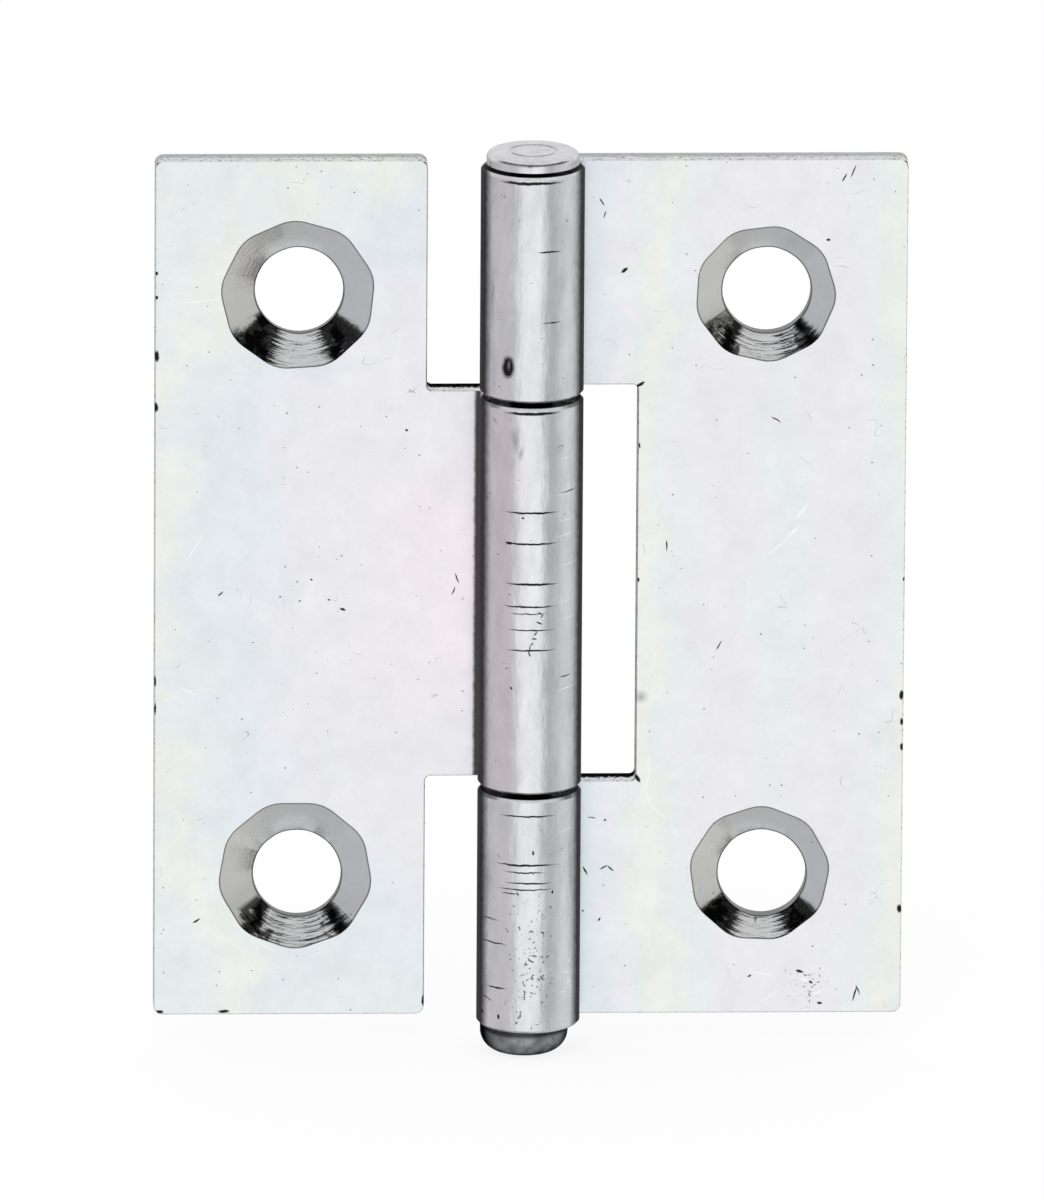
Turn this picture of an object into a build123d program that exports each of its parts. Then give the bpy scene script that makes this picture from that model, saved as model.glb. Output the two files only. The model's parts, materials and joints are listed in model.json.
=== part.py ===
from build123d import *
from math import asin, cos, pi, radians, sin, tan
import os

# Narrow butt hinge, open flat: two stamped sheet leaves, each rolled into knuckles at the joint,
# turn on one headed and riveted pin. Millimetres. The pin's axis is Z, and the origin is on it at
# mid-length of the leaves. Barrel and countersinks face -Y, and the flat backs face +Y.

# Leaves
leaf_length = 40.1  # along the pin
leaf_reach = 17.0  # from the pin's axis to a leaf's free edge
sheet = 1.35
corner_round = 0.4  # a leaf's free corners
notch_round = 0.25  # inner corners of the notches
edge_break = 0.05  # sharp edges of the front, where the punch came out
edge_roll = 0.12  # softer edges of the back and of the knuckles, where it went in

# Knuckles
pin_diameter = 1.9
pin_play = 0.05  # radial gap between pin and bore
middle_knuckle = 18.1
middle_knuckle_rise = 0.25  # its centre above mid-length
knuckle_gap = 0.25  # between neighbouring knuckles
left_notch_clearance = 2.35  # between the outer knuckles and the notches they turn in
right_notch_clearance = 2.5  # between the middle knuckle and its notch
seam_gap = 0.1  # left where the curl comes back to the leaf

# Pin heads
top_head = 4.2
top_head_height = 0.56
top_head_round = 0.3
top_head_lift = 0.14  # end play under the top head
upset_ring = 2.1  # crease left on the top head
upset_ring_width = 0.14
upset_ring_depth = 0.05
rivet_head = 4.0
rivet_height = 1.35
rivet_round = 0.95  # hammered over to a flat end
rivet_offset = 0.18  # the riveted head has spread to the left

# Screw holes
screw_hole = 4.0
left_screw_from_edge = 6.53  # centre to the leaf's free edge
right_screw_from_edge = 6.34
screw_spacing = 27.4  # along the leaf
screw_rise = 0.06  # middle of the two holes above mid-length
left_countersink = 7.0
right_countersink = 6.4
countersink_angle = 112.0
cutter_throat = 3.3  # the countersink's cone ends inside the hole
cutter_lift = 0.1  # the cone starts above the face

# The countersinks were cut with a chattering tool, which left rounded many-sided cones
chatter_sides = 9
chatter_round = 0.5  # corner radius over the outline's own radius
left_chatter_turns = (30.0, 14.0)  # one corner's direction, lower hole then upper
right_chatter_turns = (8.0, -3.0)
left_cutter_shifts = ((-0.11, 0.19), (-0.07, 0.0))  # the cutter ran off the hole's centre
right_cutter_shifts = ((-0.14, 0.17), (-0.08, 0.02))

# Worked out from the sizes above
pin_radius = pin_diameter / 2
bore_radius = pin_radius + pin_play
barrel_radius = bore_radius + sheet
leaf_back = barrel_radius
leaf_front = leaf_back - sheet
half_length = leaf_length / 2
knuckle_top = middle_knuckle_rise + middle_knuckle / 2
knuckle_bottom = middle_knuckle_rise - middle_knuckle / 2
left_notch_reach = barrel_radius + left_notch_clearance
right_notch_reach = barrel_radius + right_notch_clearance
left_screw_x = left_screw_from_edge - leaf_reach
right_screw_x = leaf_reach - right_screw_from_edge
screw_heights = (screw_rise - screw_spacing / 2, screw_rise + screw_spacing / 2)
seam_angle = asin((leaf_front - seam_gap) / barrel_radius)
past_barrel = 2 * barrel_radius  # how far cuts run, to come out clear of the barrel

LEFT, RIGHT = -1, 1


def around(radius, angle, side):
    """Point of the barrel's section, the angle measured from the leaf's side towards its back."""
    return (side * radius * cos(angle), radius * sin(angle))


def rolled_section(side):
    """Section of a leaf across the pin: flat sheet, then the curl round the bore to the seam."""
    front = -pi / 2
    free_edge = side * leaf_reach
    outer_end = around(barrel_radius, seam_angle, side)
    inner_end = around(bore_radius, seam_angle, side)
    with BuildLine() as outline:
        Line((free_edge, leaf_back), (0, leaf_back))
        ThreePointArc((0, leaf_back), around(barrel_radius, front, side), outer_end)
        Line(outer_end, inner_end)
        ThreePointArc(inner_end, around(bore_radius, front, side), (0, leaf_front))
        Polyline((0, leaf_front), (free_edge, leaf_front), (free_edge, leaf_back))
    make_face(outline.edges())


def cut_notch(x_low, x_high, z_low, z_high):
    """Straight cut through sheet and barrel, with the corner radius of the press tool."""
    with BuildSketch(Plane.XZ) as outline:
        with Locations(((x_low + x_high) / 2, (z_low + z_high) / 2)):
            Rectangle(x_high - x_low, z_high - z_low)
        fillet(outline.vertices(), notch_round)
    extrude(outline.sketch, amount=past_barrel, both=True, mode=Mode.SUBTRACT)


def finish_edges(leaf):
    """Rounds a leaf's free corners, then breaks the edges of its two flats and its knuckle ends."""
    through_edges = leaf.edges().filter_by(Axis.Y).group_by(Axis.Z)
    fillet(through_edges[0] + through_edges[-1], corner_round)
    for side, width in ((0, edge_break), (-1, edge_roll)):
        outline = leaf.faces().filter_by(Axis.Y).group_by(Axis.Y)[side].edges()
        # On the axis the flats run smoothly into the curl, so there is no edge to break there
        sharp = [edge for edge in outline if abs(edge.center().X) > bore_radius]
        chamfer(sharp, min(width, sheet / 4))


def chattered_outline(diameter, turn):
    """Rounded many-sided outline whose mean diameter is the one given."""
    radius = diameter / (1 + cos(pi / chatter_sides))
    polygon = RegularPolygon(radius, chatter_sides, rotation=turn)
    fillet(polygon.vertices(), chatter_round * radius)


def cut_screw_hole(x, z, mouth, turn, shift):
    """Screw hole through the sheet, with its countersink in the front face."""
    face = Plane(origin=(x, leaf_front, z), x_dir=(1, 0, 0), z_dir=(0, -1, 0))
    cutter = face.shift_origin((x + shift[0], leaf_front, z + shift[1]))
    slope = tan(radians(countersink_angle / 2))
    depth = (mouth - cutter_throat) / 2 / slope
    with BuildSketch(cutter.offset(cutter_lift)) as cone_mouth:
        chattered_outline(mouth + 2 * cutter_lift * slope, turn)
    with BuildSketch(cutter.offset(-depth)) as cone_throat:
        chattered_outline(cutter_throat, turn)
    loft([cone_mouth.sketch, cone_throat.sketch], mode=Mode.SUBTRACT)
    with BuildSketch(face) as hole:
        Circle(screw_hole / 2)
    extrude(hole.sketch, amount=-2 * sheet, mode=Mode.SUBTRACT)


# Left leaf: the middle knuckle, between two corner notches
with BuildPart() as left_leaf:
    with BuildSketch(Plane.XY.offset(-half_length)):
        rolled_section(LEFT)
    extrude(amount=leaf_length)
    cut_notch(-left_notch_reach, past_barrel, knuckle_top, half_length + past_barrel)
    cut_notch(-left_notch_reach, past_barrel, -half_length - past_barrel, knuckle_bottom)
    finish_edges(left_leaf)
    for z, turn, shift in zip(screw_heights, left_chatter_turns, left_cutter_shifts):
        cut_screw_hole(left_screw_x, z, left_countersink, turn, shift)

# Right leaf: the two outer knuckles, with a notch between them for the middle one
with BuildPart() as right_leaf:
    with BuildSketch(Plane.XY.offset(-half_length)):
        rolled_section(RIGHT)
    extrude(amount=leaf_length)
    cut_notch(-past_barrel, right_notch_reach, knuckle_bottom - knuckle_gap, knuckle_top + knuckle_gap)
    finish_edges(right_leaf)
    for z, turn, shift in zip(screw_heights, right_chatter_turns, right_cutter_shifts):
        cut_screw_hole(right_screw_x, z, right_countersink, turn, shift)

# Pin: straight shank, flat head above the barrel, riveted head on the barrel's lower end
with BuildPart() as hinge_pin:
    head_under = half_length + top_head_lift
    head_top = head_under + top_head_height
    with BuildSketch(Plane.XZ) as shank_and_head:
        with BuildLine():
            Polyline(
                (0, -half_length),
                (pin_radius, -half_length),
                (pin_radius, head_under),
                (top_head / 2, head_under),
                (top_head / 2, head_top),
                (0, head_top),
                close=True,
            )
        make_face()
        fillet(shank_and_head.vertices().group_by(Axis.X)[-1].sort_by(Axis.Y)[-1], top_head_round)
        with Locations((upset_ring / 2, head_top)):
            Rectangle(upset_ring_width, 2 * upset_ring_depth, mode=Mode.SUBTRACT)
    revolve(axis=Axis.Z)
    rivet_bottom = -half_length - rivet_height
    with BuildSketch(Plane.XZ.shift_origin((-rivet_offset, 0, 0))) as rivet:
        with BuildLine():
            Polyline(
                (0, -half_length),
                (rivet_head / 2, -half_length),
                (rivet_head / 2, rivet_bottom),
                (0, rivet_bottom),
                close=True,
            )
        make_face()
        fillet(rivet.vertices().group_by(Axis.X)[-1].sort_by(Axis.Y)[0], rivet_round)
    revolve(axis=Axis((-rivet_offset, 0, 0), (0, 0, 1)))

os.makedirs("parts", exist_ok=True)
left_leaf.part.label = "left_leaf"
export_step(left_leaf.part, "parts/left_leaf.step")
right_leaf.part.label = "right_leaf"
export_step(right_leaf.part, "parts/right_leaf.step")
hinge_pin.part.label = "hinge_pin"
export_step(hinge_pin.part, "parts/hinge_pin.step")
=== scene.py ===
"""Finishes and studio for a narrow butt hinge of zinc-plated steel, open flat with its barrel to the front.

Sizes are in millimetres and become metres where Blender needs them. Angles are in degrees. A pattern's
scale is one over its size, so that 1 / 0.3 repeats about every 0.3 mm.
"""

import json
from math import pi, radians
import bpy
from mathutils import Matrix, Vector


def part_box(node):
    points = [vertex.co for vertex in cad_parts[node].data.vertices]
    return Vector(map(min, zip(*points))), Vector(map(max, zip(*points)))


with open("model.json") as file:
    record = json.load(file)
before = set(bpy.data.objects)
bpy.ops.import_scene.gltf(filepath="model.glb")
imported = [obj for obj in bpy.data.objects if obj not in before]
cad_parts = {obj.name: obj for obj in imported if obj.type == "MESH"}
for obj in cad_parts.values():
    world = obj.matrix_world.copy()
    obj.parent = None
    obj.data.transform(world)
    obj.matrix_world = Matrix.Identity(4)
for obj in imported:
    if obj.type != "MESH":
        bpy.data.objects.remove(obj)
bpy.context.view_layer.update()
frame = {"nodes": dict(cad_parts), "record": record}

from types import SimpleNamespace

import bmesh
import bpy
from bpy.props import FloatProperty, FloatVectorProperty, PointerProperty
from mathutils import Matrix, Vector

bl_info = {
    "name": "Narrow Hinge",
    "version": (1, 0, 0),
    "blender": (4, 5, 0),
    "location": "3D View > Sidebar > Hinge",
    "description": "Finishes a narrow zinc-plated hinge and sets it in a plain studio",
    "category": "Object",
}

MM = 0.001
LEFT, RIGHT = -1, 1

# Sizes read from the frame
MOUNTS = {mount["name"]: mount for mount in frame["record"]["mounts"]}
LEAF_SCREWS = MOUNTS["right_leaf_screws"]
LEAF_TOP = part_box("right_leaf")[1].z / MM
LEAF_BACK = LEAF_SCREWS["pos_m"][1] / MM
BARREL_RADIUS = -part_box("right_leaf")[0].y / MM
PIN_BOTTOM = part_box("hinge_pin")[0].z / MM
SCREW_X = {
    LEFT: MOUNTS["left_leaf_screws"]["pos_m"][0] / MM,
    RIGHT: LEAF_SCREWS["pos_m"][0] / MM,
}
SCREW_Z = LEAF_SCREWS["dims"]["spacing_y_mm"] / 2
SCREW_RISE = LEAF_SCREWS["pos_m"][2] / MM
SCREW_HOLE = LEAF_SCREWS["dims"]["hole_r_mm"]

# Sockets of the colour Mix node, which have no names of their own
MIX_A, MIX_B, MIX_RESULT = 6, 7, 2

# Reach of the notches from the pin's axis and of the countersinks from their screws' axes, with room to spare
NOTCH_REACH = 5.0
COUNTERSINK_REACH = 4.2


def linear(hex_colour):
    """Linear red, green and blue of an sRGB hex colour."""
    channels = [int(hex_colour[i:i + 2], 16) / 255 for i in (0, 2, 4)]
    return tuple(c / 12.92 if c <= 0.04045 else ((c + 0.055) / 1.055) ** 2.4 for c in channels)


def add_node(tree, kind, inputs=None, output=0, **settings):
    """Adds a node, sets it up, links or fills its inputs, and returns one of its outputs."""
    node = tree.nodes.new(kind)
    for name, value in settings.items():
        setattr(node, name, value)
    for key, value in (inputs or {}).items():
        if isinstance(value, bpy.types.NodeSocket):
            tree.links.new(value, node.inputs[key])
        else:
            node.inputs[key].default_value = value
    return node.outputs[output] if len(node.outputs) else node


class HingePlate(bpy.types.PropertyGroup):
    """Bright zinc plate of the two leaves."""

    sheet: FloatProperty(
        name="Sheet", description="Thickness of the leaves' sheet, in mm", default=1.35, min=0.3)
    pink: FloatVectorProperty(
        name="Pink", description="Pinkish tint of the passivation", subtype="COLOR",
        default=linear("FAF2F7"))
    lilac: FloatVectorProperty(
        name="Lilac", description="Lilac tint of the passivation", subtype="COLOR",
        default=linear("F3F2F7"))
    blue: FloatVectorProperty(
        name="Blue", description="Bluish tint of the passivation", subtype="COLOR",
        default=linear("EAF1F6"))
    ice: FloatVectorProperty(
        name="Ice", description="Greenish white tint of the passivation", subtype="COLOR",
        default=linear("EFF5F4"))
    straw: FloatVectorProperty(
        name="Straw", description="Yellowish tint of the passivation", subtype="COLOR",
        default=linear("F5F8F2"))
    rose: FloatVectorProperty(
        name="Rose", description="Worked zinc on the knuckles' left side", subtype="COLOR",
        default=linear("F6EDF2"))
    worked: FloatVectorProperty(
        name="Worked", description="Worked zinc on the rest of the knuckles", subtype="COLOR",
        default=linear("F1F3F6"))
    bared_left: FloatVectorProperty(
        name="Bared Left", description="Duller zinc, left in the countersinks", subtype="COLOR",
        default=linear("DFDFDA"))
    bared_right: FloatVectorProperty(
        name="Bared Right", description="Duller zinc, right in the countersinks", subtype="COLOR",
        default=linear("DBDDE3"))
    # Also the painted shade on the knuckles' flanks, in the crease, the bores, the notches and the
    # countersinks
    grime_and_shade: FloatVectorProperty(
        name="Grime", description="Pits, scratches and dirt", subtype="COLOR",
        default=linear("2A2826"))
    rust: FloatVectorProperty(
        name="Rust", description="Speckle where the zinc has gone", subtype="COLOR",
        default=linear("5A5049"))
    # Grey of the painted shade on dents
    dent_grey: FloatVectorProperty(
        name="Bruise", description="Dull grey spots", subtype="COLOR",
        default=linear("9C9C9E"))
    scratch: FloatVectorProperty(
        name="Scratch", description="Fresh bright scratches", subtype="COLOR",
        default=linear("FFFFFF"))
    flat_roughness: FloatProperty(
        name="Flat Roughness", description="Roughness of the flats", subtype="FACTOR",
        default=0.32, min=0, max=1)
    knuckle_roughness: FloatProperty(
        name="Knuckle Roughness", description="Roughness of the rolled knuckles", subtype="FACTOR",
        default=0.25, min=0, max=1)
    cut_roughness: FloatProperty(
        name="Cut Roughness", description="Roughness of the cut countersinks", subtype="FACTOR",
        default=0.14, min=0, max=1)
    # Roughness where the flanks and crease carry painted shade
    shade_roughness: FloatProperty(
        name="Dirt Roughness", description="Roughness of the dirty flanks and crease", subtype="FACTOR",
        default=0.7, min=0, max=1)


class HingePin(bpy.types.PropertyGroup):
    """Plated pin with its two heads."""

    head: FloatVectorProperty(
        name="Head", description="Colour of the flat head", subtype="COLOR",
        default=linear("EDECEF"))
    # Painted shade: the hammered head faces down, so it gets a darker copy of the plating's colour
    shaded_rivet: FloatVectorProperty(
        name="Rivet", description="Colour of the hammered head", subtype="COLOR",
        default=linear("9C9EA0"))
    # Painted shade on the shank and round the hammered head, and the colour of the scale on that head
    shade_and_dirt: FloatVectorProperty(
        name="Dirt", description="Oily dirt on the shank and the hammered head", subtype="COLOR",
        default=linear("141312"))
    roughness: FloatProperty(
        name="Roughness", description="Roughness of both heads", subtype="FACTOR", default=0.26, min=0, max=1)


class HingeStage(bpy.types.PropertyGroup):
    """Floor, light and camera."""

    paper: FloatVectorProperty(
        name="Paper", description="Colour of the floor", subtype="COLOR",
        default=linear("F7F7F7"))
    azimuth: FloatProperty(
        name="Azimuth", description="Camera's angle round the hinge, to the right of the front",
        subtype="ANGLE", default=radians(-2.0))
    elevation: FloatProperty(
        name="Elevation", description="Camera's height angle above the hinge", subtype="ANGLE",
        default=radians(15.5))
    roll: FloatProperty(
        name="Roll", description="Camera's lean", subtype="ANGLE", default=radians(0.35))
    frame_height: FloatProperty(
        name="Frame Height", description="Height of the picture at the hinge, in mm", default=54.3)
    lens: FloatProperty(
        name="Lens", description="Long lens that keeps edges parallel", unit="CAMERA", default=800)
    key_power: FloatProperty(
        name="Key Power", description="Power of the soft key lamp", unit="POWER", default=1.0)


def hinge_material(name):
    """New node material, with its tree and the surface's place in millimetres."""
    material = bpy.data.materials.new(name)
    material.use_nodes = True
    tree = material.node_tree
    tree.nodes.clear()
    place = add_node(tree, "ShaderNodeTexCoord", output="Object")
    place = add_node(tree, "ShaderNodeVectorMath", {0: place, "Scale": 1 / MM}, operation="SCALE")
    return material, tree, place


# Marks of wear, placed one by one: across and up the hinge, half length, half width and turn clockwise
LEFT_NICKS = (
    # Free edge, lower end and notch
    (-16.92, 10.95, 0.30, 0.14, 90), (-16.95, 8.55, 0.26, 0.13, 90), (-16.92, 14.8, 0.12, 0.08, 90),
    (-16.92, 13.7, 0.10, 0.07, 90), (-16.95, -4.3, 0.30, 0.06, 90), (-16.95, -5.6, 0.35, 0.05, 90),
    (-13.8, -19.9, 0.32, 0.10, 0), (-16.7, -19.9, 0.20, 0.10, 0), (-4.75, -19.4, 0.30, 0.08, 90),
    # Dots and short scratches on the flat
    (-8.46, -0.95, 0.16, 0.08, 25), (-9.1, -0.5, 0.07, 0.05, 0), (-9.9, 0.45, 0.06, 0.05, 0),
    (-10.4, -0.55, 0.08, 0.04, 0), (-11.3, -0.35, 0.06, 0.05, 0), (-5.6, 7.46, 0.10, 0.07, 0),
    (-15.05, -15.6, 0.24, 0.05, -35), (-14.0, -0.2, 0.20, 0.04, -50), (-3.3, 0.5, 0.30, 0.04, 70),
    (-3.45, -0.1, 0.25, 0.04, 110),
    # Rings and a zigzag round the middle knuckle
    (-0.05, 9.08, 1.5, 0.09, 0), (-0.05, 4.45, 1.45, 0.06, 0), (-0.1, 3.0, 1.5, 0.06, 0),
    (-1.05, 3.0, 0.20, 0.09, 0), (-0.05, 1.1, 1.4, 0.07, 0), (-0.15, 0.05, 1.45, 0.05, 0),
    (-0.05, -1.05, 1.2, 0.04, 0), (-0.05, -2.0, 1.3, 0.05, 0), (-0.2, -0.28, 0.95, 0.035, 0),
    (0.36, -0.27, 0.14, 0.035, 45), (0.45, -0.38, 0.12, 0.03, 130), (0.33, -0.69, 0.18, 0.05, 25),
    (0.17, -1.2, 0.14, 0.04, -50), (0.10, -1.45, 0.14, 0.045, 0), (0.0, -1.7, 0.12, 0.035, -40),
    (-0.1, -1.87, 0.14, 0.035, 100), (-0.12, -2.14, 0.16, 0.035, 70), (-0.45, 4.2, 0.08, 0.06, 0),
    (1.5, 5.3, 0.7, 0.04, -8), (-0.92, -3.8, 0.09, 0.06, 70), (1.54, -3.32, 0.3, 0.035, -5),
)
LEFT_SCRATCHES = (
    (-15.0, 13.5, 0.9, 0.05, -8), (-15.4, -4.8, 0.6, 0.05, 20), (-15.2, 1.9, 1.3, 0.04, -60),
    (-11.8, -16.9, 0.8, 0.03, 30), (1.5, 6.9, 0.4, 0.04, 0), (1.3, 5.25, 0.7, 0.05, -4),
    (1.55, 4.0, 0.6, 0.05, -6), (1.5, 3.3, 0.75, 0.05, -5), (1.7, 1.9, 0.5, 0.04, -5),
    (1.5, 0.2, 0.5, 0.03, -4), (1.65, -0.6, 0.5, 0.05, -4), (1.6, -3.9, 0.7, 0.06, -8),
)
# Grey spots of painted shade on dents
LEFT_DENT_SHADE = ((-0.8, 7.8, 0.75, 0.20, 82), (-0.55, 7.2, 0.45, 0.14, 105), (-1.7, 8.6, 0.20, 0.08, 60))
RIGHT_NICKS = (
    # Free edge and notch
    (16.9, -5.05, 0.28, 0.13, 90), (16.93, -6.3, 0.20, 0.10, 90), (16.93, -7.5, 0.20, 0.10, 90),
    (16.9, -15.15, 0.25, 0.14, 90), (16.95, 0.4, 0.12, 0.07, 90), (4.95, 9.55, 0.30, 0.10, -35),
    (4.93, 6.7, 0.15, 0.06, 90), (4.93, 0.4, 0.12, 0.06, 90), (4.95, -8.95, 0.25, 0.10, 60),
    # Dots and short scratches on the flat
    (4.2, 14.9, 0.22, 0.10, -40), (3.15, 18.1, 0.25, 0.04, 60), (3.3, 17.5, 0.20, 0.04, 110),
    (11.1, 7.9, 0.32, 0.04, 35), (14.5, 19.5, 0.35, 0.04, -70), (14.1, 19.2, 0.25, 0.04, -60),
    (13.4, 16.3, 0.10, 0.07, 0), (6.2, 2.0, 0.30, 0.04, 85), (8.6, -2.7, 0.28, 0.04, -60),
    (14.9, -19.2, 0.40, 0.05, -75), (15.05, -19.0, 0.30, 0.04, -110), (2.6, -13.3, 0.28, 0.05, 60),
    (3.45, -13.15, 0.24, 0.05, -35), (3.75, -13.2, 0.22, 0.05, 40), (3.25, -15.6, 0.12, 0.05, -50),
    (2.5, -15.2, 0.07, 0.05, 0), (3.5, -10.9, 0.08, 0.06, 0), (2.9, -10.8, 0.22, 0.03, 10),
    (12.4, -18.1, 0.22, 0.08, 15), (13.3, -19.6, 0.15, 0.08, 0), (12.9, -18.6, 0.12, 0.07, 30),
    (10.1, -18.3, 0.12, 0.05, -30),
    # Lines on the top knuckle, a scar, and rings round the bottom knuckle
    (-0.2, 19.80, 1.8, 0.09, 0), (0.7, 16.6, 0.60, 0.05, 0), (0.8, 13.3, 0.50, 0.035, 0),
    (-1.14, 11.2, 0.62, 0.33, 95), (-0.2, -9.8, 1.5, 0.05, 0), (-0.3, -12.1, 1.7, 0.06, 0),
    (-0.3, -12.45, 1.1, 0.04, 0), (-0.1, -12.95, 1.2, 0.05, 0), (-0.3, -13.25, 1.5, 0.04, 0),
    (-0.9, -13.45, 0.5, 0.03, 0), (-1.7, -15.9, 0.9, 0.04, 0), (-1.5, -18.0, 0.5, 0.05, 0),
    (-1.8, -14.8, 0.5, 0.03, 0), (0.1, -11.5, 0.15, 0.05, 80), (-1.4, -19.35, 0.16, 0.07, 90),
    (-2.1, -19.3, 0.09, 0.06, 90), (-1.9, -18.6, 0.3, 0.03, 25), (1.0, -13.4, 0.10, 0.05, 90),
)
RIGHT_SCRATCHES = (
    (5.6, -3.6, 1.4, 0.04, -75), (4.9, -3.5, 0.5, 0.04, 60), (5.43, -8.35, 0.55, 0.06, 84),
    (5.37, -9.15, 0.45, 0.06, 107), (5.42, -9.85, 0.50, 0.06, 66), (5.94, -10.55, 0.60, 0.05, 44),
    (6.75, -11.5, 0.85, 0.04, 53), (12.3, 3.6, 0.6, 0.09, -50), (11.9, 2.6, 0.6, 0.10, -48),
    (11.2, 1.9, 0.6, 0.07, -40), (1.6, -10.6, 0.5, 0.04, 0), (7.4, 15.0, 0.7, 0.03, 50),
    (1.65, -17.3, 0.14, 0.10, 40), (1.78, -17.8, 0.18, 0.10, 90), (1.5, -18.2, 0.14, 0.09, 0),
    (1.82, -16.8, 0.12, 0.08, 60), (10.7, -18.2, 0.9, 0.05, 8), (11.0, -19.3, 0.7, 0.05, -35),
    (12.6, -18.5, 0.30, 0.10, 10), (13.2, -19.1, 0.25, 0.10, -20),
)
# Grey spots of painted shade on dents
RIGHT_DENT_SHADE = ((5.05, -5.1, 0.42, 0.36, 0), (-1.1, 11.3, 0.30, 0.10, 95))
PLACED_MARKS = {
    LEFT: (LEFT_NICKS, LEFT_SCRATCHES, LEFT_DENT_SHADE),
    RIGHT: (RIGHT_NICKS, RIGHT_SCRATCHES, RIGHT_DENT_SHADE),
}
# Where the zinc has gone: a patch by one corner of the right leaf, and its lower knuckle
BARE_PATCHES = ((12.8, -18.8, 1.5, 1.3, 0), (0.1, -16.6, 4.4, 1.7, 88))
MARK_WOBBLE = 0.10  # how far the marks' edges stray
# Painted dark reflection in the countersinks: how far clockwise from the right of a screw's axis it lies, and
# how far to either side it ends
CSK_REFLECTION_TURN = radians(97)
CSK_REFLECTION_ENDS = (radians(51), radians(56))


def placed_marks(tree, place, marks, leaf_front, solid=0.6):
    """Mask of the marks in one list: thin ellipses on the barrel's front or on the front of the flat."""
    mask = 0.0
    for across, up, length, width, turn in marks:
        on_barrel = abs(across) < BARREL_RADIUS
        out = -(BARREL_RADIUS ** 2 - across ** 2) ** 0.5 if on_barrel else leaf_front
        spot = add_node(tree, "ShaderNodeMapping", {
            "Vector": place, "Location": (across, out, up), "Rotation": (0, radians(turn), 0),
            "Scale": (length, 1.0, width)}, vector_type="TEXTURE")
        spot = add_node(tree, "ShaderNodeTexGradient", {"Vector": spot}, "Fac", gradient_type="SPHERICAL")
        spot = add_node(tree, "ShaderNodeMapRange", {"Value": spot, "From Max": 1.0 - solid})
        mask = add_node(tree, "ShaderNodeMath", {0: mask, 1: spot}, operation="MAXIMUM")
    return mask


# Passivation film of each leaf: the middle of its thinnest patch, and how far it thickens across and up
FILM = {LEFT: (-2.6, -0.5, 15.2, 23.0), RIGHT: (11.4, 0.0, 6.5, 35.0)}
FILM_DRIFT = 0.21  # how far the film strays from that
FILM_SPAN = 1.4  # thickness at the end of its colours
ANY_DEPTH = 1e6  # so long that how deep a point lies makes no difference


def passivation_tint(tree, place, side, settings):
    """Pale interference colours of the passivation film, which thickens away from a patch on each leaf."""
    across, up, thick_across, thick_up = FILM[side]
    film = add_node(tree, "ShaderNodeMapping", {
        "Vector": place, "Location": (across, 0, up), "Scale": (thick_across, ANY_DEPTH, thick_up)},
        vector_type="TEXTURE")
    film = add_node(tree, "ShaderNodeVectorMath", {0: film}, "Value", operation="LENGTH")
    drift = add_node(tree, "ShaderNodeTexNoise", {
        "Vector": place, "Scale": 1 / 4.5, "Detail": 7.0, "Roughness": 0.7, "Distortion": 0.4})
    drift = add_node(tree, "ShaderNodeMapRange", {
        "Value": drift, "From Min": 0.25, "From Max": 0.75, "To Min": -FILM_DRIFT, "To Max": FILM_DRIFT})
    film = add_node(tree, "ShaderNodeMath", {0: film, 1: drift}, operation="ADD")
    film = add_node(tree, "ShaderNodeMath", {0: film, 1: FILM_SPAN}, operation="DIVIDE")
    tint = add_node(tree, "ShaderNodeValToRGB", {"Fac": film})
    if side == LEFT:
        stops = (
            (0.10, settings.pink), (0.24, settings.lilac), (0.40, settings.lilac), (0.56, settings.blue),
            (0.66, settings.ice), (0.72, settings.straw), (0.80, settings.ice), (0.98, settings.blue))
    else:
        stops = (
            (0.06, settings.ice), (0.20, settings.lilac), (0.46, settings.lilac), (0.60, settings.ice),
            (0.67, settings.straw), (0.72, settings.straw), (0.78, settings.ice), (0.86, settings.lilac),
            (0.96, settings.blue))
    ramp = tint.node.color_ramp
    ramp.elements.remove(ramp.elements[1])
    ramp.elements[0].position = stops[0][0]
    ramp.elements[0].color = (*stops[0][1], 1)
    for position, colour in stops[1:]:
        ramp.elements.new(position).color = (*colour, 1)
    return tint


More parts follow.
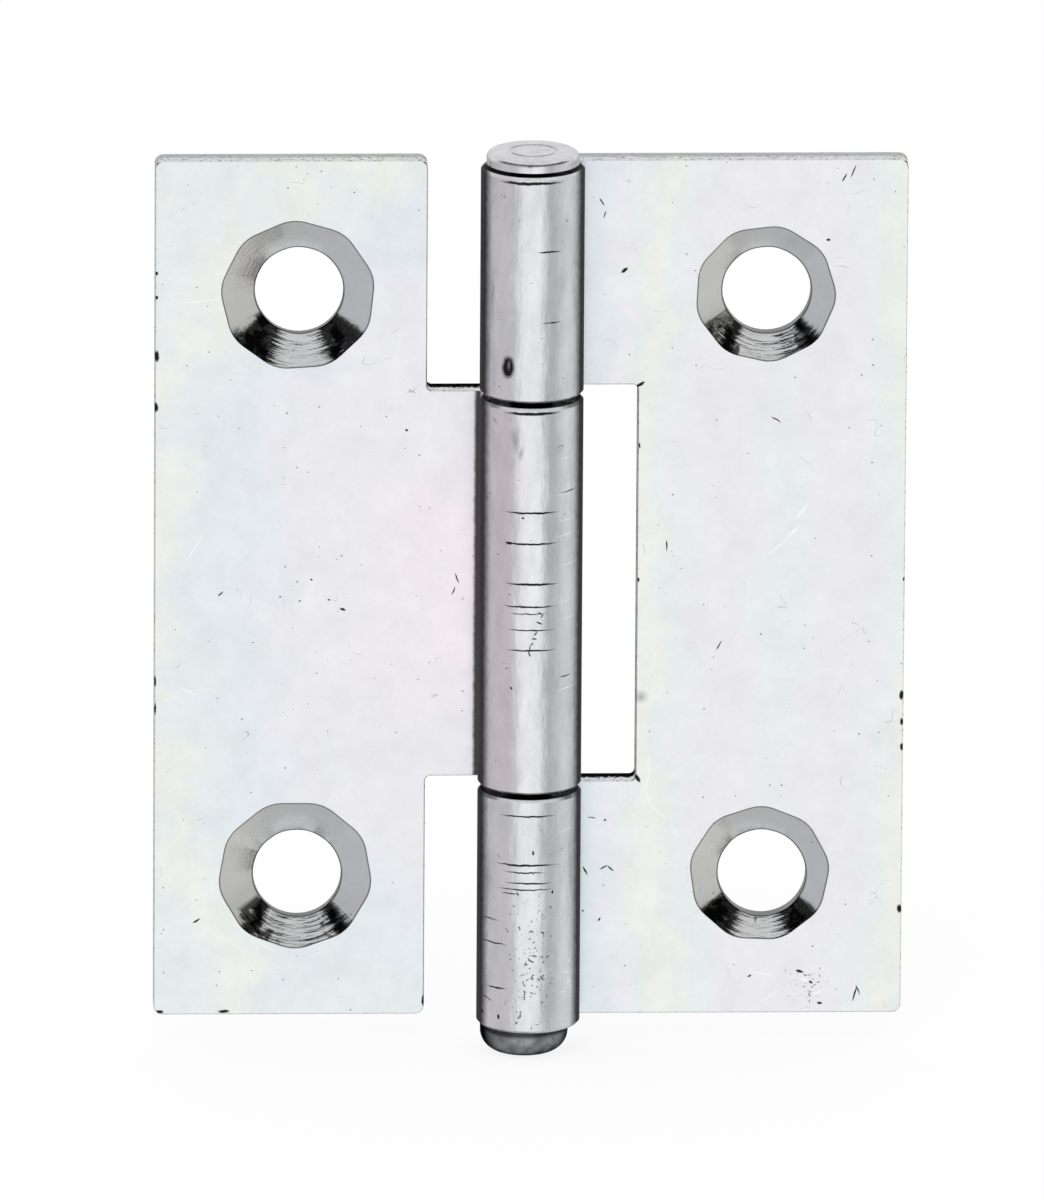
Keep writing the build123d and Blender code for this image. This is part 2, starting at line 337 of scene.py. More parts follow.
def plate_zones(tree, place, side, settings):
    """Where things are on a leaf: its barrel, its countersinks and its sheared edges."""
    axes = add_node(tree, "ShaderNodeSeparateXYZ", {0: place}).node.outputs
    x, y, z = axes["X"], axes["Y"], axes["Z"]
    wobble = add_node(tree, "ShaderNodeTexNoise", {"Vector": place, "Scale": 1 / 0.3, "Detail": 2.0}, "Color")
    wobble = add_node(tree, "ShaderNodeVectorMath", {0: wobble, 1: (0.5, 0.5, 0.5)}, operation="SUBTRACT")
    wobble = add_node(tree, "ShaderNodeVectorMath", {0: wobble, "Scale": MARK_WOBBLE}, operation="SCALE")
    loose_place = add_node(tree, "ShaderNodeVectorMath", {0: place, 1: wobble}, operation="ADD")

    # The barrel: all that lies within its radius of the pin's axis
    across = add_node(tree, "ShaderNodeVectorMath", {0: place, 1: (1, 1, 0)}, operation="MULTIPLY")
    radius = add_node(tree, "ShaderNodeVectorMath", {0: across}, "Value", operation="LENGTH")
    knuckle = add_node(tree, "ShaderNodeMapRange", {
        "Value": radius, "From Min": BARREL_RADIUS + 0.05, "From Max": BARREL_RADIUS + 0.16,
        "To Min": 1.0, "To Max": 0.0})
    flat = add_node(tree, "ShaderNodeMath", {0: 1.0, 1: knuckle}, operation="SUBTRACT")

    # The countersinks: near a screw's axis, and between the two faces of the sheet
    half = add_node(tree, "ShaderNodeMath", {0: z}, operation="SIGN")
    screw_z = add_node(tree, "ShaderNodeMath", {0: half, 1: SCREW_Z, 2: SCREW_RISE}, operation="MULTIPLY_ADD")
    hole_x = add_node(tree, "ShaderNodeMath", {0: x, 1: SCREW_X[side]}, operation="SUBTRACT")
    hole_z = add_node(tree, "ShaderNodeMath", {0: z, 1: screw_z}, operation="SUBTRACT")
    hole_place = add_node(tree, "ShaderNodeCombineXYZ", {"X": hole_x, "Z": hole_z})
    hole_radius = add_node(tree, "ShaderNodeVectorMath", {0: hole_place}, "Value", operation="LENGTH")
    hole_angle = add_node(tree, "ShaderNodeMath", {0: hole_z, 1: hole_x}, operation="ARCTAN2")
    half_sheet = settings.sheet / 2
    depth = add_node(tree, "ShaderNodeMath", {0: y, 1: LEAF_BACK - settings.sheet}, operation="SUBTRACT")
    near_hole = add_node(tree, "ShaderNodeMath", {
        0: hole_radius, 1: COUNTERSINK_REACH}, operation="LESS_THAN")
    between = add_node(tree, "ShaderNodeMath", {0: depth, 1: half_sheet}, operation="SUBTRACT")
    between = add_node(tree, "ShaderNodeMath", {0: between}, operation="ABSOLUTE")
    between = add_node(tree, "ShaderNodeMapRange", {
        "Value": between, "From Min": half_sheet - 0.012, "From Max": half_sheet - 0.004,
        "To Min": 1.0, "To Max": 0.0})
    cut = add_node(tree, "ShaderNodeMath", {0: near_hole, 1: between}, operation="MULTIPLY")

    # The sheared edges: the rest between the two faces, away from the barrel
    sheared = add_node(tree, "ShaderNodeMath", {0: between, 1: cut}, operation="SUBTRACT")
    sheared = add_node(tree, "ShaderNodeMath", {0: sheared, 1: flat}, operation="MULTIPLY")
    return SimpleNamespace(
        x=x, y=y, z=z, loose_place=loose_place, radius=radius, knuckle=knuckle, flat=flat, half=half,
        hole_x=hole_x, hole_z=hole_z, hole_radius=hole_radius, hole_angle=hole_angle, depth=depth, cut=cut,
        sheared=sheared)


def clean_plate(tree, place, zones, side, settings):
    """Colour of the clean plate: film on the flats, worked zinc on the knuckles, dull zinc in the cuts."""
    tint = passivation_tint(tree, place, side, settings)
    cloud = add_node(tree, "ShaderNodeTexNoise", {
        "Vector": place, "Scale": 1 / 1.6, "Detail": 7.0, "Roughness": 0.72})
    cloud = add_node(tree, "ShaderNodeMapRange", {
        "Value": cloud, "From Min": 0.3, "From Max": 0.7, "To Min": 0.935, "To Max": 1.035})

    # Knuckles: rosier on the left, and smeared along the barrel
    rosy = add_node(tree, "ShaderNodeMapRange", {
        "Value": zones.x, "From Min": -1.2, "From Max": -0.3, "To Min": 1.0 if side == LEFT else 0.4,
        "To Max": 0.0})
    worked = add_node(tree, "ShaderNodeMix", {
        "Factor": rosy, MIX_A: (*settings.worked, 1), MIX_B: (*settings.rose, 1)}, MIX_RESULT,
        data_type="RGBA")
    smear = add_node(tree, "ShaderNodeVectorMath", {0: place, 1: (1, 1, 0.4)}, operation="MULTIPLY")
    smear = add_node(tree, "ShaderNodeTexNoise", {
        "Vector": smear, "Scale": 1 / 0.7, "Detail": 5.0, "Roughness": 0.6})
    smear = add_node(tree, "ShaderNodeMapRange", {
        "Value": smear, "From Min": 0.3, "From Max": 0.7, "To Min": 0.88, "To Max": 1.04})
    worked = add_node(tree, "ShaderNodeMix", {"Factor": 1.0, MIX_A: worked, MIX_B: smear}, MIX_RESULT,
                      data_type="RGBA", blend_type="MULTIPLY")
    colour = add_node(tree, "ShaderNodeMix", {
        "Factor": zones.knuckle, MIX_A: tint, MIX_B: worked}, MIX_RESULT, data_type="RGBA")

    # Countersinks: the film went with the chips, and the zinc is cooler towards the right
    dulled = add_node(tree, "ShaderNodeMath", {0: zones.cut, 1: 0.9}, operation="MULTIPLY")
    to_right = add_node(tree, "ShaderNodeMapRange", {
        "Value": zones.hole_x, "From Min": -3.0, "From Max": 3.0})
    bared = add_node(tree, "ShaderNodeMix", {
        "Factor": to_right, MIX_A: (*settings.bared_left, 1), MIX_B: (*settings.bared_right, 1)}, MIX_RESULT,
        data_type="RGBA")
    colour = add_node(tree, "ShaderNodeMix", {"Factor": dulled, MIX_A: colour, MIX_B: bared}, MIX_RESULT,
                      data_type="RGBA")
    return add_node(tree, "ShaderNodeMix", {"Factor": 1.0, MIX_A: colour, MIX_B: cloud}, MIX_RESULT,
                    data_type="RGBA", blend_type="MULTIPLY")


def scattered_wear(tree, place):
    """Masks of the small wear that lies all over a leaf: pits and hair scratches."""
    # Pits under 0.1 mm wide
    pits = add_node(tree, "ShaderNodeTexVoronoi", {"Vector": place, "Scale": 1 / 0.5})
    pit_random = add_node(tree, "ShaderNodeSeparateColor", {0: pits.node.outputs["Color"]})
    pit_size = add_node(tree, "ShaderNodeMath", {0: pit_random, 1: 0.085}, operation="MULTIPLY")
    pit = add_node(tree, "ShaderNodeMath", {0: pits, 1: pit_size}, operation="LESS_THAN")
    pit = add_node(tree, "ShaderNodeMath", {0: pit, 1: 0.75}, operation="MULTIPLY")

    # Hair scratches: broken contour lines of a slow noise
    contour = add_node(tree, "ShaderNodeTexNoise", {
        "Vector": place, "Scale": 1 / 4.0, "Detail": 2.5, "Distortion": 1.2})
    contour = add_node(tree, "ShaderNodeMath", {0: contour, 1: 0.5, 2: 0.0014}, operation="COMPARE")
    breaks = add_node(tree, "ShaderNodeTexNoise", {"Vector": place, "Scale": 1 / 1.4, "Detail": 1.0})
    breaks = add_node(tree, "ShaderNodeMapRange", {
        "Value": breaks, "From Min": 0.62, "From Max": 0.72, "To Max": 0.6})
    hair = add_node(tree, "ShaderNodeMath", {0: contour, 1: breaks}, operation="MULTIPLY")
    return pit, hair


def countersink_shade(tree, place, zones):
    """Masks of painted shade in the countersinks: dark lines along their edges, and a painted dark reflection
    in the lower corners.
    """
    # Painted shade as dark lines where a countersink breaks the front face and where its cone meets the hole
    mouth_line = add_node(tree, "ShaderNodeMapRange", {
        "Value": zones.depth, "From Min": 0.02, "From Max": 0.06, "To Min": 1.0, "To Max": 0.0})
    throat_line = add_node(tree, "ShaderNodeMapRange", {
        "Value": zones.hole_radius, "From Min": SCREW_HOLE + 0.03, "From Max": SCREW_HOLE + 0.08,
        "To Min": 1.0, "To Max": 0.0})
    edge_shade = add_node(tree, "ShaderNodeMath", {0: mouth_line, 1: throat_line}, operation="MAXIMUM")
    edge_shade = add_node(tree, "ShaderNodeMath", {0: edge_shade, 1: zones.cut}, operation="MULTIPLY")
    edge_shade = add_node(tree, "ShaderNodeMath", {0: edge_shade, 1: 0.85}, operation="MULTIPLY")

    # Painted dark reflection, thickest to either side of the lowest point
    aside = add_node(tree, "ShaderNodeMath", {0: zones.hole_x}, operation="ABSOLUTE")
    aside = add_node(tree, "ShaderNodeMapRange", {
        "Value": aside, "From Min": 0.7, "From Max": 1.7, "To Max": 0.22})
    csk_dark_reflection = add_node(tree, "ShaderNodeTexNoise", {"Vector": place, "Scale": 1 / 0.7, "Detail": 5.0})
    csk_dark_reflection = add_node(tree, "ShaderNodeMath", {0: csk_dark_reflection, 1: aside}, operation="ADD")
    csk_dark_reflection = add_node(tree, "ShaderNodeMapRange", {
        "Value": csk_dark_reflection, "From Min": 0.66, "From Max": 0.73, "To Max": 0.9})
    reflection_sector = add_node(tree, "ShaderNodeMath", {0: zones.hole_angle, 1: CSK_REFLECTION_TURN}, operation="ADD")
    reflection_sector = add_node(tree, "ShaderNodeMath", {0: reflection_sector}, operation="ABSOLUTE")
    reflection_sector = add_node(tree, "ShaderNodeMapRange", {
        "Value": reflection_sector, "From Min": CSK_REFLECTION_ENDS[0], "From Max": CSK_REFLECTION_ENDS[1], "To Min": 1.0, "To Max": 0.0})
    reflection_sector = add_node(tree, "ShaderNodeMath", {0: reflection_sector, 1: zones.cut}, operation="MULTIPLY")
    csk_dark_reflection = add_node(tree, "ShaderNodeMath", {0: csk_dark_reflection, 1: reflection_sector}, operation="MULTIPLY")
    return edge_shade, csk_dark_reflection


def knuckle_shade(tree, zones, side):
    """Masks of painted shade on the barrel: a painted dark reflection on its flanks, a painted shadow in the
    crease, and painted shade inside it.
    """
    # Flanks: painted dark reflection, on the front half
    flank_reflection = add_node(tree, "ShaderNodeSeparateXYZ", {0: zones.loose_place})
    flank_reflection = add_node(tree, "ShaderNodeMath", {0: flank_reflection}, operation="ABSOLUTE")
    flank_reflection = add_node(tree, "ShaderNodeMapRange", {
        "Value": flank_reflection, "From Min": 0.80 * BARREL_RADIUS, "From Max": 0.92 * BARREL_RADIUS,
        "To Min": 0.05, "To Max": 0.92})
    facing = add_node(tree, "ShaderNodeMapRange", {
        "Value": zones.y, "From Min": 0.0, "From Max": 0.25 * BARREL_RADIUS, "To Min": 1.0, "To Max": 0.1})
    flank_reflection = add_node(tree, "ShaderNodeMath", {0: flank_reflection, 1: facing}, operation="MULTIPLY")
    flank_reflection = add_node(tree, "ShaderNodeMath", {0: flank_reflection, 1: zones.knuckle}, operation="MULTIPLY")

    # Crease: painted shadow where the front of the left leaf runs into its knuckle
    crease = add_node(tree, "ShaderNodeSeparateXYZ", {0: zones.loose_place})
    crease = add_node(tree, "ShaderNodeMapRange", {
        "Value": crease, "From Min": -BARREL_RADIUS - 0.24, "From Max": -BARREL_RADIUS - 0.10,
        "To Max": 0.85})
    front = add_node(tree, "ShaderNodeMath", {0: zones.depth, 1: 0.02}, operation="LESS_THAN")
    crease = add_node(tree, "ShaderNodeMath", {0: crease, 1: front}, operation="MULTIPLY")
    crease = add_node(tree, "ShaderNodeMath", {
        0: crease, 1: zones.flat if side == LEFT else 0.0}, operation="MULTIPLY")

    # Inside: painted shade in the bores and on the knuckles' ends
    recess_shade = add_node(tree, "ShaderNodeMapRange", {
        "Value": zones.radius, "From Min": BARREL_RADIUS - 0.14, "From Max": BARREL_RADIUS - 0.10,
        "To Min": 0.95, "To Max": 0.0})
    return flank_reflection, crease, recess_shade


def torn_edges_and_notch_shade(tree, place, zones, settings):
    """Mask of the back half of the sheared edges, which tore and stayed dark, with painted shade that makes
    it darkest in the notches.
    """
    crumbs = add_node(tree, "ShaderNodeTexNoise", {"Vector": place, "Scale": 1 / 0.16, "Detail": 3.0})
    torn_and_notch_shade = add_node(tree, "ShaderNodeMath", {0: crumbs, 1: 0.9, 2: zones.depth}, operation="MULTIPLY_ADD")
    torn_and_notch_shade = add_node(tree, "ShaderNodeMapRange", {
        "Value": torn_and_notch_shade, "From Min": 0.32 * settings.sheet + 0.45, "From Max": 0.46 * settings.sheet + 0.45})
    near_pin = add_node(tree, "ShaderNodeMath", {0: zones.x}, operation="ABSOLUTE")
    near_pin = add_node(tree, "ShaderNodeMath", {0: near_pin, 1: NOTCH_REACH}, operation="LESS_THAN")
    off_ends = add_node(tree, "ShaderNodeMath", {0: zones.z}, operation="ABSOLUTE")
    off_ends = add_node(tree, "ShaderNodeMath", {0: off_ends, 1: LEAF_TOP - 0.5}, operation="LESS_THAN")
    in_notch = add_node(tree, "ShaderNodeMath", {0: near_pin, 1: off_ends}, operation="MULTIPLY")
    # Painted shade: the notches get the most of it
    in_notch = add_node(tree, "ShaderNodeMapRange", {"Value": in_notch, "To Min": 0.25, "To Max": 0.95})
    torn_and_notch_shade = add_node(tree, "ShaderNodeMath", {0: torn_and_notch_shade, 1: in_notch}, operation="MULTIPLY")
    crumbs = add_node(tree, "ShaderNodeMapRange", {
        "Value": crumbs, "From Min": 0.54, "From Max": 0.66, "To Max": 0.5})
    torn_and_notch_shade = add_node(tree, "ShaderNodeMath", {0: torn_and_notch_shade, 1: crumbs}, operation="MAXIMUM")
    return add_node(tree, "ShaderNodeMath", {0: torn_and_notch_shade, 1: zones.sheared}, operation="MULTIPLY")


def bare_specks(tree, place, leaf_front):
    """Mask of the speckle in the bare patches, closest together in the middle of each."""
    bare = placed_marks(tree, place, BARE_PATCHES, leaf_front, 0.0)
    specks = add_node(tree, "ShaderNodeTexNoise", {"Vector": place, "Scale": 1 / 0.17, "Detail": 3.0})
    specks = add_node(tree, "ShaderNodeMath", {0: bare, 1: 0.16, 2: specks}, operation="MULTIPLY_ADD")
    specks = add_node(tree, "ShaderNodeMapRange", {
        "Value": specks, "From Min": 0.715, "From Max": 0.75, "To Max": 0.8})
    worn = add_node(tree, "ShaderNodeMath", {0: bare, 1: 0.05}, operation="GREATER_THAN")
    return add_node(tree, "ShaderNodeMath", {0: specks, 1: worn}, operation="MULTIPLY")


def plate_relief(tree, place, zones):
    """Relief of the plate: fine grain, streaks along the knuckles, and rings cut in the countersinks."""
    # The plate's crystals are finer than this grain, which is as coarse as it needs to be to show
    grain = add_node(tree, "ShaderNodeTexNoise", {"Vector": place, "Scale": 1 / 0.12, "Detail": 3.0})
    grain = add_node(tree, "ShaderNodeMath", {0: grain, 1: 0.003}, operation="MULTIPLY")
    along = add_node(tree, "ShaderNodeVectorMath", {0: place, 1: (1, 1, 0.3)}, operation="MULTIPLY")
    streaks = add_node(tree, "ShaderNodeTexNoise", {"Vector": along, "Scale": 1 / 0.9, "Detail": 4.0})
    streaks = add_node(tree, "ShaderNodeMath", {0: streaks, 1: zones.knuckle}, operation="MULTIPLY")
    height = add_node(tree, "ShaderNodeMath", {0: streaks, 1: 0.06, 2: grain}, operation="MULTIPLY_ADD")
    # The rings are deepest low down, where the cutter dug in
    ring_turn = add_node(tree, "ShaderNodeMath", {0: zones.hole_angle, 1: 0.25}, operation="MULTIPLY")
    ring_place = add_node(tree, "ShaderNodeCombineXYZ", {
        "X": zones.hole_radius, "Y": ring_turn, "Z": zones.half})
    rings = add_node(tree, "ShaderNodeTexNoise", {"Vector": ring_place, "Scale": 1 / 0.16, "Detail": 3.0})
    low_down = add_node(tree, "ShaderNodeMapRange", {
        "Value": zones.hole_z, "From Min": -2.0, "From Max": -1.2, "To Min": 0.03, "To Max": 0.0015})
    rings = add_node(tree, "ShaderNodeMath", {0: rings, 1: low_down}, operation="MULTIPLY")
    height = add_node(tree, "ShaderNodeMath", {0: rings, 1: zones.cut, 2: height}, operation="MULTIPLY_ADD")
    return add_node(tree, "ShaderNodeBump", {"Height": height, "Distance": MM})


def zinc_plate(name, side, settings):
    """Cold-rolled steel sheet, zinc plated and passivated: near-white metal, softly mirroring, with pale film
    colours, dark marks of wear, and painted shade on the knuckles, in the crease, notches and countersinks,
    and on dents."""
    material, tree, place = hinge_material(name)
    leaf_front = LEAF_BACK - settings.sheet
    zones = plate_zones(tree, place, side, settings)
    colour = clean_plate(tree, place, zones, side, settings)

    pit, hair = scattered_wear(tree, place)
    edge_shade, csk_dark_reflection = countersink_shade(tree, place, zones)
    flank_reflection, crease, recess_shade = knuckle_shade(tree, zones, side)
    torn_and_notch_shade = torn_edges_and_notch_shade(tree, place, zones, settings)
    specks = bare_specks(tree, place, leaf_front)
    nick_list, scratch_list, dent_shade_list = PLACED_MARKS[side]
    nicks = placed_marks(tree, zones.loose_place, nick_list, leaf_front)
    scratches = placed_marks(tree, zones.loose_place, scratch_list, leaf_front, 0.2)
    dent_shade = placed_marks(tree, zones.loose_place, dent_shade_list, leaf_front, 0.1)
    dent_shade = add_node(tree, "ShaderNodeMath", {0: dent_shade, 1: 0.7}, operation="MULTIPLY")
    grime_and_shade = settings.grime_and_shade
    # Stains and wear, and painted shade on the flanks, in the crease, the bores, the notches, the
    # countersinks and on dents
    stains_and_shades = (
        (pit, grime_and_shade), (hair, grime_and_shade), (specks, settings.rust), (edge_shade, grime_and_shade), (csk_dark_reflection, grime_and_shade),
        (flank_reflection, grime_and_shade), (crease, grime_and_shade), (recess_shade, grime_and_shade), (torn_and_notch_shade, grime_and_shade), (nicks, grime_and_shade),
        (dent_shade, settings.dent_grey), (scratches, settings.scratch))
    for mask, mark_tone in stains_and_shades:
        colour = add_node(tree, "ShaderNodeMix", {
            "Factor": mask, MIX_A: colour, MIX_B: (*mark_tone, 1)}, MIX_RESULT, data_type="RGBA")

    roughness = add_node(tree, "ShaderNodeMix", {
        "Factor": zones.knuckle, "A": settings.flat_roughness, "B": settings.knuckle_roughness})
    roughness = add_node(tree, "ShaderNodeMix", {
        "Factor": zones.cut, "A": roughness, "B": settings.cut_roughness})
    dull = add_node(tree, "ShaderNodeMath", {0: flank_reflection, 1: crease}, operation="MAXIMUM")
    roughness = add_node(tree, "ShaderNodeMix", {
        "Factor": dull, "A": roughness, "B": settings.shade_roughness})

    # The flanks and crease, which carry painted shade, and the torn edges get less of the sheen that bare
    # metal has at a glancing angle
    dull = add_node(tree, "ShaderNodeMath", {0: dull, 1: 0.25}, operation="MULTIPLY")
    dull = add_node(tree, "ShaderNodeMath", {0: dull, 1: torn_and_notch_shade}, operation="MAXIMUM")
    sheen = add_node(tree, "ShaderNodeMath", {0: 1.0, 1: dull}, operation="SUBTRACT")
    shader = add_node(tree, "ShaderNodeBsdfPrincipled", {
        "Base Color": colour, "Metallic": 1.0, "Roughness": roughness, "Specular Tint": sheen,
        "Normal": plate_relief(tree, place, zones)})
    add_node(tree, "ShaderNodeOutputMaterial", {"Surface": shader})
    return material


def plated_pin(name, settings):
    """Drawn steel wire, zinc plated: a bright flat head, and a hammered head and shank darkened by painted
    shade.
    """
    material, tree, place = hinge_material(name)
    axes = add_node(tree, "ShaderNodeSeparateXYZ", {0: place}).node.outputs
    x, z = axes["X"], axes["Z"]
    lower = add_node(tree, "ShaderNodeMath", {0: z, 1: -LEAF_TOP}, operation="LESS_THAN")
    colour = add_node(tree, "ShaderNodeMix", {
        "Factor": lower, MIX_A: (*settings.head, 1), MIX_B: (*settings.shaded_rivet, 1)}, MIX_RESULT,
        data_type="RGBA")
    blotch = add_node(tree, "ShaderNodeTexNoise", {"Vector": place, "Scale": 1 / 0.5, "Detail": 5.0})
    blotch = add_node(tree, "ShaderNodeMapRange", {
        "Value": blotch, "From Min": 0.3, "From Max": 0.7, "To Min": 0.85, "To Max": 1.05})
    colour = add_node(tree, "ShaderNodeMix", {"Factor": 1.0, MIX_A: colour, MIX_B: blotch}, MIX_RESULT,
                      data_type="RGBA", blend_type="MULTIPLY")

    # Painted shade on the shank, near black, which shows only in the joints and under the top head
    shank = add_node(tree, "ShaderNodeMath", {0: z, 1: LEAF_TOP + 0.16}, operation="LESS_THAN")
    shank = add_node(tree, "ShaderNodeMath", {0: shank, 1: lower}, operation="SUBTRACT")
    colour = add_node(tree, "ShaderNodeMix", {
        "Factor": shank, MIX_A: colour, MIX_B: (*settings.shade_and_dirt, 1)}, MIX_RESULT, data_type="RGBA")

    # Scale on the hammered head, and painted shade on its flanks, in its neck and round its lower rim
    scale = add_node(tree, "ShaderNodeTexNoise", {"Vector": place, "Scale": 1 / 0.6, "Detail": 2.0})
    scale = add_node(tree, "ShaderNodeMapRange", {
        "Value": scale, "From Min": 0.42, "From Max": 0.68, "To Max": 0.6})
    flanks = add_node(tree, "ShaderNodeMath", {0: x}, operation="ABSOLUTE")
    flanks = add_node(tree, "ShaderNodeMapRange", {
        "Value": flanks, "From Min": 1.3, "From Max": 2.0, "To Max": 0.85})
    neck = add_node(tree, "ShaderNodeMapRange", {
        "Value": z, "From Min": -LEAF_TOP - 0.42, "From Max": -LEAF_TOP - 0.22, "To Max": 0.85})
    rim = add_node(tree, "ShaderNodeMapRange", {
        "Value": z, "From Min": PIN_BOTTOM + 0.10, "From Max": PIN_BOTTOM + 0.22,
        "To Min": 0.75, "To Max": 0.0})
    for shade_and_dirt in (flanks, neck, rim):
        scale = add_node(tree, "ShaderNodeMath", {0: scale, 1: shade_and_dirt}, operation="MAXIMUM")
    scale = add_node(tree, "ShaderNodeMath", {0: scale, 1: lower}, operation="MULTIPLY")
    colour = add_node(tree, "ShaderNodeMix", {
        "Factor": scale, MIX_A: colour, MIX_B: (*settings.shade_and_dirt, 1)}, MIX_RESULT, data_type="RGBA")

    grain = add_node(tree, "ShaderNodeTexNoise", {"Vector": place, "Scale": 1 / 0.15, "Detail": 3.0})
    grain = add_node(tree, "ShaderNodeMath", {0: grain, 1: 0.004}, operation="MULTIPLY")
    relief = add_node(tree, "ShaderNodeBump", {"Height": grain, "Distance": MM})
    sheen = add_node(tree, "ShaderNodeMath", {0: lower, 1: -0.8, 2: 1.0}, operation="MULTIPLY_ADD")
    shader = add_node(tree, "ShaderNodeBsdfPrincipled", {
        "Base Color": colour, "Metallic": 1.0, "Roughness": settings.roughness, "Specular Tint": sheen,
        "Normal": relief})
    add_node(tree, "ShaderNodeOutputMaterial", {"Surface": shader})
    return material


# What the metal mirrors, in order: direction round from the front and up from level, each with its
# half width and the softness of its edge, and how bright it is
STUDIO_CARDS = (
    ("dark room behind", 180, 68, -24, 26, 8, 0.5),
    ("right wall", 92, 22, -20, 40, 12, 0.75),
    ("right corner", 42, 9, -20, 40, 8, 0.46),
    ("back wall", 180, 75, 22, 22, 6, 0.78),
    ("floor below", 0, 400, -90, 30, 8, 0.56),
    ("white paper in front", -3, 29, -20, 28, 6, 1.0),
    ("dark gap above the paper", 0, 100, 32, 13, 3, 0.012),
    ("ceiling", 0, 400, 78, 32, 4, 0.78),
)
STUDIO_WALLS = 0.6

# Floor, key lamp and camera. The floor and the lamp are in metres, as they are in Blender
FLOOR_RADIUS = 6.0
FLOOR_GAP = 0.02  # mm under the pin's lower head
FLOOR_GLOW = 0.86  # share of plain white in what the camera sees, the rest being the shaded paper
KEY_WIDTH = 0.5
KEY_DISTANCE = 0.8
KEY_TOWARDS = Vector((-0.3, -0.8, 1.1)).normalized()
CAMERA_AIM = Vector((-0.38 * MM, -0.25 * MM, 0))  # middle of the picture, across and up from the origin
CAMERA_CLIP = (0.05, 20.0)  # metres


def studio_world():
    """White backdrop, with the paper, walls and ceiling of a small studio for the metal to mirror."""
    world = bpy.data.worlds.new("studio")
    bpy.context.scene.world = world
    world.use_nodes = True
    world.cycles.sampling_method = "NONE"
    tree = world.node_tree
    tree.nodes.clear()
    way = add_node(tree, "ShaderNodeTexCoord", output="Generated")
    axes = add_node(tree, "ShaderNodeSeparateXYZ", {0: way}).node.outputs
    to_front = add_node(tree, "ShaderNodeMath", {0: axes["Y"], 1: -1.0}, operation="MULTIPLY")
    azimuth = add_node(tree, "ShaderNodeMath", {0: axes["X"], 1: to_front}, operation="ARCTAN2")
    elevation = add_node(tree, "ShaderNodeMath", {0: axes["Z"]}, operation="ARCSINE")
    level = STUDIO_WALLS
    for label, round_at, round_half, up_at, up_half, soft, bright in STUDIO_CARDS:
        masks = []
        for angle, centre, reach, wraps in (
                (azimuth, round_at, round_half, True), (elevation, up_at, up_half, False)):
            off = add_node(tree, "ShaderNodeMath", {0: angle, 1: radians(centre)}, operation="SUBTRACT")
            if wraps:
                off = add_node(tree, "ShaderNodeMath", {0: off, 1: -pi, 2: pi}, operation="WRAP")
            off = add_node(tree, "ShaderNodeMath", {0: off}, operation="ABSOLUTE")
            masks.append(add_node(tree, "ShaderNodeMapRange", {
                "Value": off, "From Min": radians(reach - soft), "From Max": radians(reach + soft),
                "To Min": 1.0, "To Max": 0.0}, interpolation_type="SMOOTHSTEP"))
        mask = add_node(tree, "ShaderNodeMath", {0: masks[0], 1: masks[1]}, operation="MULTIPLY")
        level = add_node(tree, "ShaderNodeMix", {"Factor": mask, "A": level, "B": bright}, label=label)
    rays = add_node(tree, "ShaderNodeLightPath").node.outputs
    shown = add_node(tree, "ShaderNodeMix", {"Factor": rays["Is Glossy Ray"], "A": 1.0, "B": level})
    backdrop = add_node(tree, "ShaderNodeBackground", {"Color": (1, 1, 1, 1), "Strength": shown})
    add_node(tree, "ShaderNodeOutputWorld", {"Surface": backdrop})


def paper_floor(settings):
    """Pale paper under the hinge: white to the camera, with the hinge's soft shadow on it."""
    mesh = bmesh.new()
    bmesh.ops.create_circle(mesh, cap_ends=True, segments=64, radius=FLOOR_RADIUS)
    bmesh.ops.translate(mesh, verts=mesh.verts, vec=(0, 0, (PIN_BOTTOM - FLOOR_GAP) * MM))
    data = bpy.data.meshes.new("floor")
    mesh.to_mesh(data)
    mesh.free()
    floor = bpy.data.objects.new("floor", data)
    bpy.context.scene.collection.objects.link(floor)
    material = bpy.data.materials.new("paper")
    material.use_nodes = True
    tree = material.node_tree
    tree.nodes.clear()
    rays = add_node(tree, "ShaderNodeLightPath").node.outputs
    matte = add_node(tree, "ShaderNodeBsdfDiffuse", {"Color": (*settings.paper, 1)})
    glow = add_node(tree, "ShaderNodeEmission", {"Color": (1, 1, 1, 1), "Strength": 1.0})
    lit = add_node(tree, "ShaderNodeMixShader", {0: FLOOR_GLOW, 1: matte, 2: glow})
    surface = add_node(tree, "ShaderNodeMixShader", {0: rays["Is Camera Ray"], 1: matte, 2: lit})
    add_node(tree, "ShaderNodeOutputMaterial", {"Surface": surface})
    data.materials.append(material)
    floor.visible_glossy = False


class HINGE_OT_finish_leaves(bpy.types.Operator):
    """Plates the two leaves"""

    bl_idname = "hinge.finish_leaves"
    bl_label = "Finish Leaves"

    def execute(self, context):
        settings = context.scene.hinge_plate
        for node, side in (("left_leaf", LEFT), ("right_leaf", RIGHT)):
            leaf = frame["nodes"][node]
            leaf.data.materials.clear()
            leaf.data.materials.append(zinc_plate(node + "_zinc_plate", side, settings))
        return {"FINISHED"}


class HINGE_OT_finish_pin(bpy.types.Operator):
    """Plates the pin and its heads"""

    bl_idname = "hinge.finish_pin"
    bl_label = "Finish Pin"

    def execute(self, context):
        pin = frame["nodes"]["hinge_pin"]
        pin.data.materials.clear()
        pin.data.materials.append(plated_pin("pin_plate", context.scene.hinge_pin))
        return {"FINISHED"}


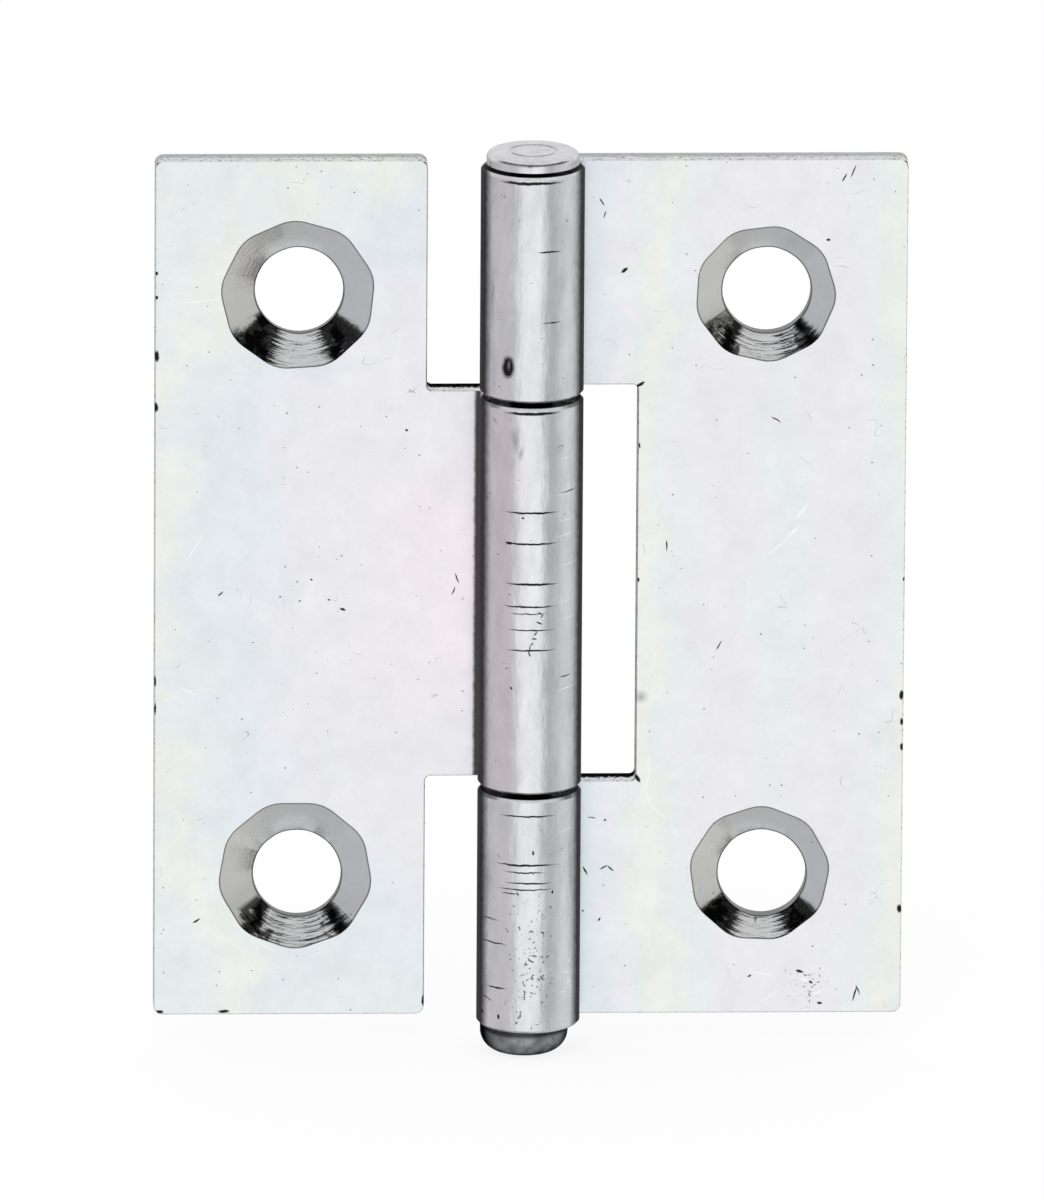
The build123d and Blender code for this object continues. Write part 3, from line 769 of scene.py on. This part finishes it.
class HINGE_OT_set_stage(bpy.types.Operator):
    """Sets the floor, the light and the camera"""

    bl_idname = "hinge.set_stage"
    bl_label = "Set Stage"

    def execute(self, context):
        settings = context.scene.hinge_stage
        context.scene.view_settings.view_transform = "Standard"
        studio_world()
        paper_floor(settings)

        lamp = bpy.data.lights.new("key", "AREA")
        lamp.shape = "DISK"
        lamp.size = KEY_WIDTH
        lamp.energy = settings.key_power
        key = bpy.data.objects.new("key", lamp)
        key.visible_glossy = False
        facing = KEY_TOWARDS.to_track_quat("Z", "Y").to_matrix().to_4x4()
        key.matrix_world = Matrix.Translation(KEY_TOWARDS * KEY_DISTANCE) @ facing
        context.scene.collection.objects.link(key)

        camera_data = bpy.data.cameras.new("camera")
        camera_data.lens = settings.lens
        distance = settings.frame_height * MM * settings.lens / camera_data.sensor_width
        camera_data.clip_start, camera_data.clip_end = CAMERA_CLIP
        camera = bpy.data.objects.new("camera", camera_data)
        tilt = Matrix.Rotation(pi / 2 - settings.elevation, 4, "X")
        roll = Matrix.Rotation(settings.roll, 4, "Z")
        turn = Matrix.Rotation(settings.azimuth, 4, "Z") @ tilt @ roll
        aim = turn.to_3x3() @ CAMERA_AIM
        camera.matrix_world = Matrix.Translation(aim + turn.to_3x3() @ Vector((0, 0, distance))) @ turn
        context.scene.collection.objects.link(camera)
        context.scene.camera = camera
        return {"FINISHED"}


class HINGE_PT_panel(bpy.types.Panel):
    """Lists the steps in the 3D view's sidebar"""

    bl_idname = "HINGE_PT_panel"
    bl_label = "Narrow Hinge"
    bl_space_type = "VIEW_3D"
    bl_region_type = "UI"
    bl_category = "Hinge"

    def draw(self, context):
        for operator in OPERATORS:
            self.layout.operator(operator.bl_idname)


OPERATORS = (HINGE_OT_finish_leaves, HINGE_OT_finish_pin, HINGE_OT_set_stage)
GROUPS = {"hinge_plate": HingePlate, "hinge_pin": HingePin, "hinge_stage": HingeStage}


def register():
    for group in GROUPS.values():
        bpy.utils.register_class(group)
    for name, group in GROUPS.items():
        setattr(bpy.types.Scene, name, PointerProperty(type=group))
    for operator in OPERATORS:
        bpy.utils.register_class(operator)
    bpy.utils.register_class(HINGE_PT_panel)


def unregister():
    bpy.utils.unregister_class(HINGE_PT_panel)
    for operator in reversed(OPERATORS):
        bpy.utils.unregister_class(operator)
    for name, group in GROUPS.items():
        delattr(bpy.types.Scene, name)
        bpy.utils.unregister_class(group)


def main():
    register()
    bpy.ops.hinge.finish_leaves()
    bpy.ops.hinge.finish_pin()
    bpy.ops.hinge.set_stage()


if __name__ == "__main__":
    main()
